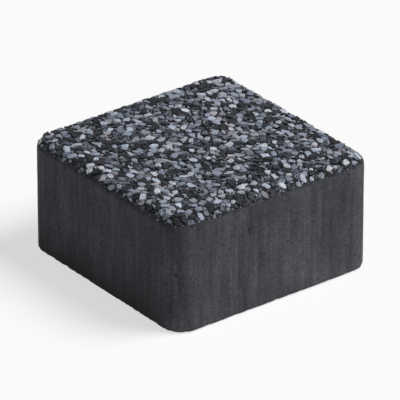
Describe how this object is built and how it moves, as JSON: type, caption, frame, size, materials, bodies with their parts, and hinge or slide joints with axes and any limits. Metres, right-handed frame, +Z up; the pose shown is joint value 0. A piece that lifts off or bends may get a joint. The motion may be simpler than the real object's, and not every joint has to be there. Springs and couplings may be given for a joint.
{
  "type": "concrete paver",
  "caption": "Square concrete paver, a pressed block with rounded corners and rim and an exposed dark stone chip wearing face, laid on sand to make paths and drives.",
  "frame": {"origin": "middle of the bed face, the flat underside that lies on the laying bed", "axes": "+Z up, from the bed face to the wearing face; X and Y along the square's sides"},
  "size_m": [0.118, 0.118, 0.06],
  "materials": {
    "concrete": "matte"
  },
  "bodies": {
    "root": {"paver": "concrete"}
  },
  "joints": []
}
